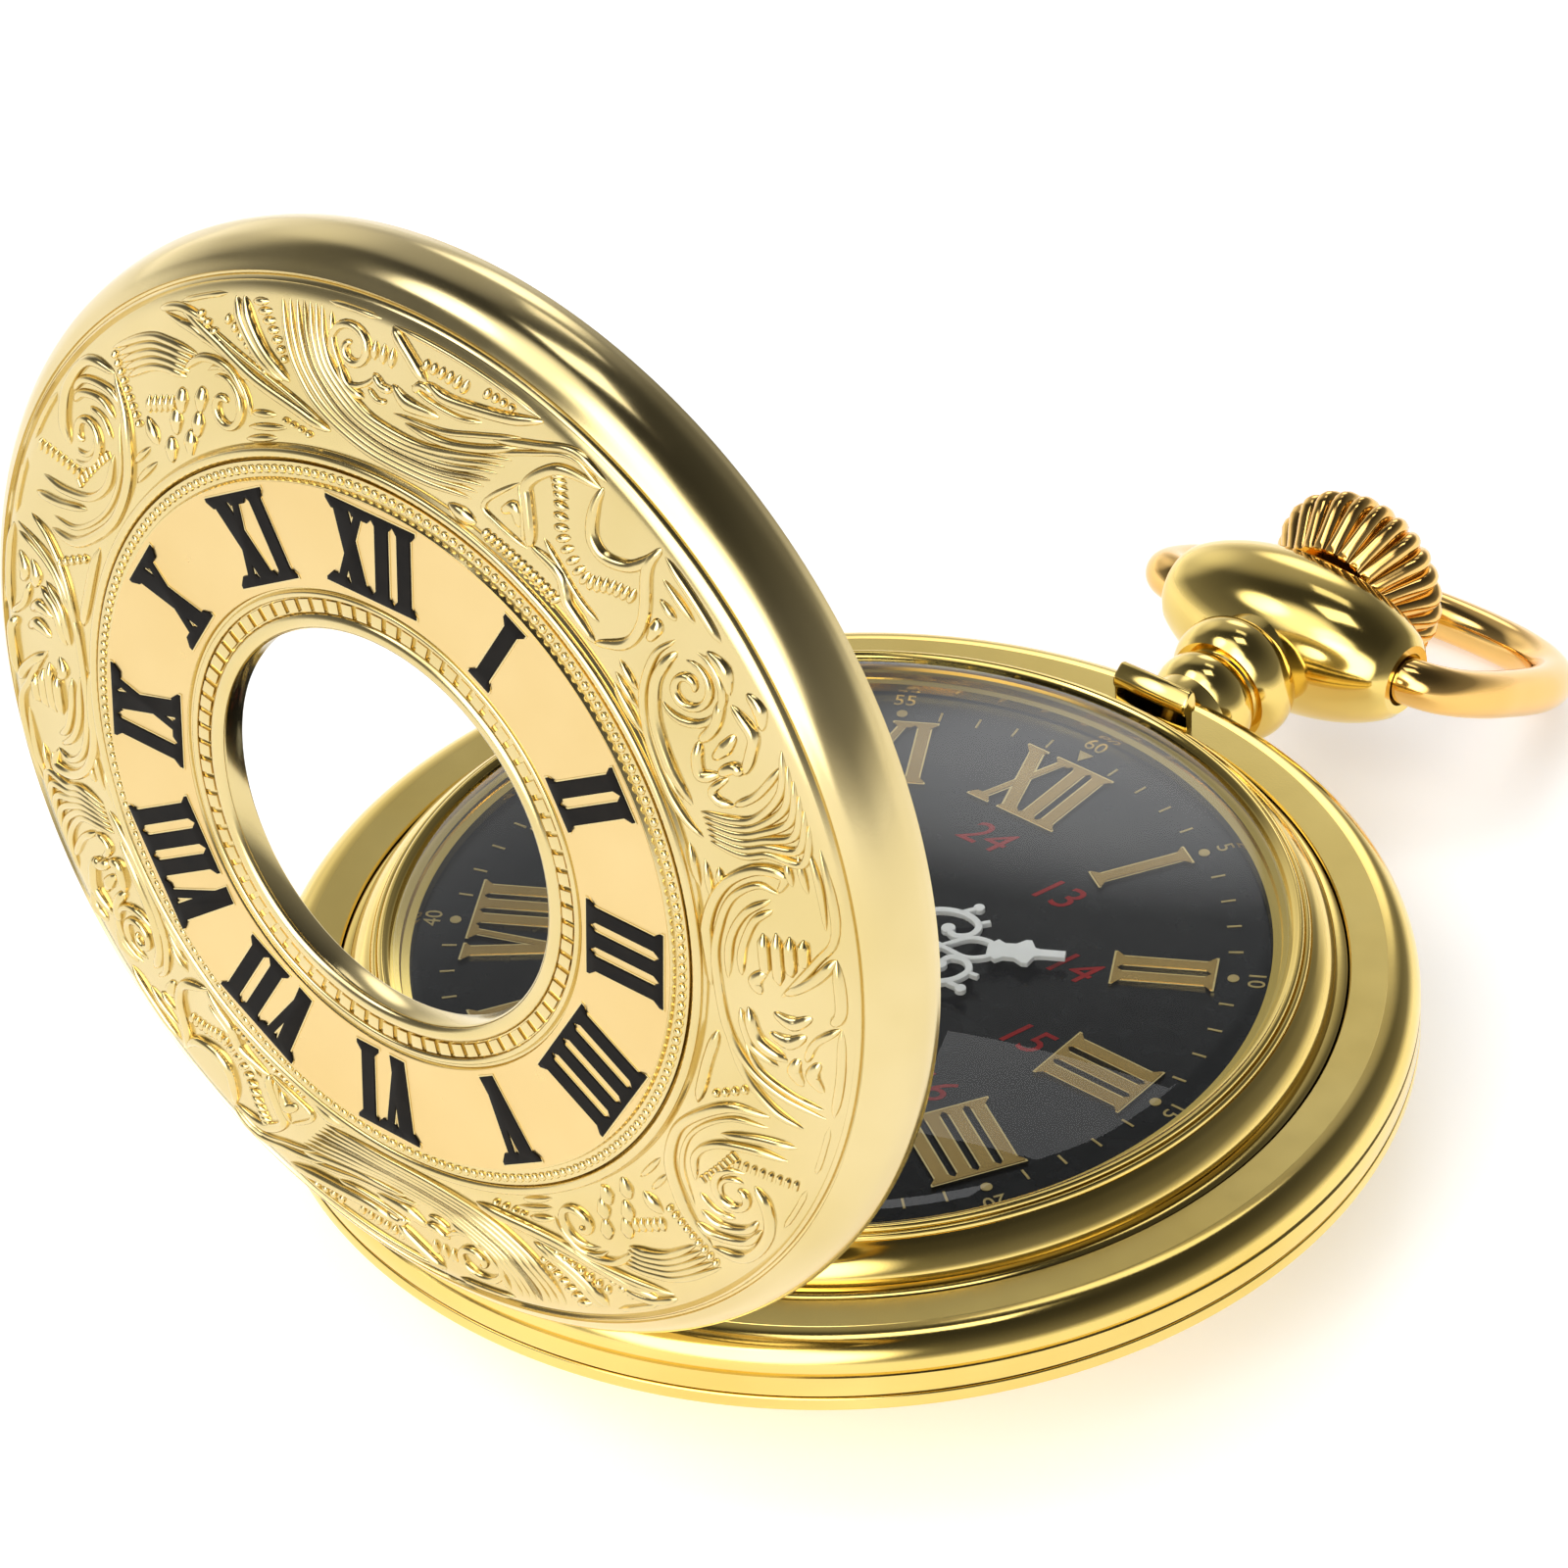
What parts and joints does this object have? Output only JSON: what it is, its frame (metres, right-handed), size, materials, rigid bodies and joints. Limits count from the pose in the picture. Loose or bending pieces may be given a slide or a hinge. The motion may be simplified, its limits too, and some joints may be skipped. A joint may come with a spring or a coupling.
{
  "type": "hunter pocket watch",
  "caption": "Hunter pocket watch with a hinged front cover that has a round window, a swinging bow, a pendant crown, a dial with two hands and a geared movement.",
  "frame": {"origin": "centre of the back cover's flat rest face", "axes": "+Z out of the dial, +Y towards 12 o'clock and the crown, +X towards 3 o'clock"},
  "size_m": [0.047, 0.072, 0.055],
  "materials": {
    "case_gold": "polished gold plate",
    "rose_gold": "polished rose-gold plate",
    "steel": "fine brushed",
    "blued_steel": "heat-blued and polished",
    "brass": "satin",
    "nickel": "matt nickel plate",
    "black_lacquer": "gloss black lacquer",
    "white_lacquer": "satin white lacquer",
    "crystal_glass": "clear domed glass"
  },
  "bodies": {
    "case": {"case_middle": "case_gold", "back_cover": "case_gold", "bezel": "case_gold", "crystal": "crystal_glass", "lift_spring": "steel", "hinge_pin": "steel", "pendant": "case_gold", "main_plate": "nickel", "movement_ring": "brass", "barrel_bridge": "nickel", "train_bridge": "nickel", "balance_cock": "nickel", "barrel_bridge_screw": "blued_steel", "train_bridge_screw": "blued_steel", "balance_cock_screw": "blued_steel", "case_screw_left": "blued_steel", "case_screw_right": "blued_steel", "click_spring": "steel", "hairspring": "blued_steel", "dial": "black_lacquer"},
    "front_cover": {"front_cover": "case_gold"},
    "bow": {"bow": "rose_gold"},
    "release_sleeve": {"release_sleeve": "steel"},
    "lid_catch": {"lid_catch": "case_gold"},
    "setting_lever": {"setting_lever": "steel"},
    "crown": {"crown": "rose_gold", "winding_stem": "steel"},
    "yoke": {"yoke": "steel"},
    "sliding_pinion": {"sliding_pinion": "steel"},
    "winding_pinion": {"winding_pinion": "steel"},
    "crown_wheel": {"crown_wheel": "steel"},
    "ratchet": {"ratchet_wheel": "steel", "barrel_arbor": "steel"},
    "click": {"click": "steel"},
    "barrel": {"barrel": "brass", "mainspring": "blued_steel"},
    "centre_wheel": {"centre_wheel": "brass"},
    "third_wheel": {"third_wheel": "brass"},
    "fourth_wheel": {"fourth_wheel": "brass"},
    "escape_wheel": {"escape_wheel": "steel"},
    "pallet_fork": {"pallet_fork": "steel"},
    "balance": {"balance_wheel": "brass"},
    "minute_hand": {"cannon_pinion": "steel", "minute_hand": "white_lacquer"},
    "minute_wheel": {"minute_wheel": "brass"},
    "hour_hand": {"hour_wheel": "brass", "hour_hand": "white_lacquer"},
    "setting_wheel": {"setting_wheel": "steel"}
  },
  "joints": [
    {"name": "lid_hinge", "type": "hinge", "parent": "case", "child": "front_cover", "pos_m": [0, -0.022, 0.00825], "axis": [1, 0, 0], "range_deg": [-85.5, 9.5]},
    {"name": "bow_swing", "type": "hinge", "parent": "case", "child": "bow", "pos_m": [0, 0.03095, 0.0066], "axis": [1, 0, 0], "range_deg": [-70, 130]},
    {"name": "crown_press", "type": "slide", "parent": "case", "child": "release_sleeve", "axis": [0, 1, 0], "range_m": [-0.0005, 0]},
    {"name": "lid_catch_slide", "type": "slide", "parent": "case", "child": "lid_catch", "axis": [0, 1, 0], "range_m": [-0.0005, 0]},
    {"name": "crown_pull", "type": "slide", "parent": "release_sleeve", "child": "setting_lever", "axis": [0, 1, 0], "range_m": [0, 0.001]},
    {"name": "crown_turn", "type": "hinge", "parent": "setting_lever", "child": "crown", "pos_m": [0, 0.022, 0.0066], "axis": [0, 1, 0], "continuous": true},
    {"name": "yoke_slide", "type": "slide", "parent": "case", "child": "yoke", "axis": [0, 1, 0], "range_m": [-0.0008, 0]},
    {"name": "sliding_pinion_turn", "type": "hinge", "parent": "yoke", "child": "sliding_pinion", "pos_m": [0, 0.0104, 0.0066], "axis": [0, 1, 0], "continuous": true},
    {"name": "winding_pinion_turn", "type": "hinge", "parent": "case", "child": "winding_pinion", "pos_m": [0, 0.012, 0.0066], "axis": [0, 1, 0], "continuous": true},
    {"name": "crown_wheel_turn", "type": "hinge", "parent": "case", "child": "crown_wheel", "pos_m": [0, 0.00959, 0.0047], "axis": [0, 0, 1], "continuous": true},
    {"name": "ratchet_turn", "type": "hinge", "parent": "case", "child": "ratchet", "pos_m": [0.00573, 0.00402, 0.0047], "axis": [0, 0, 1], "continuous": true},
    {"name": "click_swing", "type": "hinge", "parent": "case", "child": "click", "pos_m": [0.0113, 0.0063, 0.0047], "axis": [0, 0, 1], "range_deg": [0, 12]},
    {"name": "fourth_wheel_turn", "type": "hinge", "parent": "case", "child": "fourth_wheel", "pos_m": [-0.0067, -0.00632, 0.0045], "axis": [0, 0, 1], "continuous": true},
    {"name": "third_wheel_turn", "type": "hinge", "parent": "case", "child": "third_wheel", "pos_m": [-0.00507, -0.00185, 0.0045], "axis": [0, 0, 1], "continuous": true},
    {"name": "centre_wheel_turn", "type": "hinge", "parent": "case", "child": "centre_wheel", "pos_m": [0, 0, 0.005], "axis": [0, 0, 1], "continuous": true},
    {"name": "barrel_turn", "type": "hinge", "parent": "case", "child": "barrel", "pos_m": [0.00573, 0.00402, 0.004], "axis": [0, 0, 1], "continuous": true},
    {"name": "escape_wheel_turn", "type": "hinge", "parent": "case", "child": "escape_wheel", "pos_m": [-0.00319, -0.00834, 0.0045], "axis": [0, 0, 1], "continuous": true},
    {"name": "pallet_swing", "type": "hinge", "parent": "case", "child": "pallet_fork", "pos_m": [-0.00014, -0.00888, 0.005], "axis": [0, 0, 1], "range_deg": [-4, 4]},
    {"name": "balance_swing", "type": "hinge", "parent": "case", "child": "balance", "pos_m": [0.00321, -0.00829, 0.0045], "axis": [0, 0, 1], "range_deg": [-140, 140], "stiffness_Nm_per_rad": 0.0000003},
    {"name": "hand_setting", "type": "hinge", "parent": "case", "child": "minute_hand", "pos_m": [0, 0, 0.009], "axis": [0, 0, 1], "continuous": true},
    {"name": "minute_wheel_turn", "type": "hinge", "parent": "case", "child": "minute_wheel", "pos_m": [-0.00109, 0.00301, 0.0078], "axis": [0, 0, 1], "continuous": true},
    {"name": "hour_hand_turn", "type": "hinge", "parent": "case", "child": "hour_hand", "pos_m": [0, 0, 0.0085], "axis": [0, 0, 1], "continuous": true},
    {"name": "setting_wheel_turn", "type": "hinge", "parent": "case", "child": "setting_wheel", "pos_m": [0, 0.00685, 0.0078], "axis": [0, 0, 1], "continuous": true}
  ],
  "couplings": [
    {"joint": "lid_catch_slide", "follows": "crown_press", "ratio": 1},
    {"joint": "yoke_slide", "follows": "crown_pull", "ratio": -0.8},
    {"joint": "sliding_pinion_turn", "follows": "crown_turn", "ratio": 1},
    {"joint": "winding_pinion_turn", "follows": "crown_turn", "ratio": 1},
    {"joint": "crown_wheel_turn", "follows": "crown_turn", "ratio": 0.5},
    {"joint": "ratchet_turn", "follows": "crown_turn", "ratio": -0.33333},
    {"joint": "third_wheel_turn", "follows": "fourth_wheel_turn", "ratio": -0.13333},
    {"joint": "centre_wheel_turn", "follows": "fourth_wheel_turn", "ratio": 0.016667},
    {"joint": "barrel_turn", "follows": "fourth_wheel_turn", "ratio": -0.002778},
    {"joint": "escape_wheel_turn", "follows": "fourth_wheel_turn", "ratio": -8},
    {"joint": "minute_wheel_turn", "follows": "hand_setting", "ratio": -0.33333},
    {"joint": "hour_hand_turn", "follows": "hand_setting", "ratio": 0.083333},
    {"joint": "setting_wheel_turn", "follows": "hand_setting", "ratio": 0.5}
  ]
}
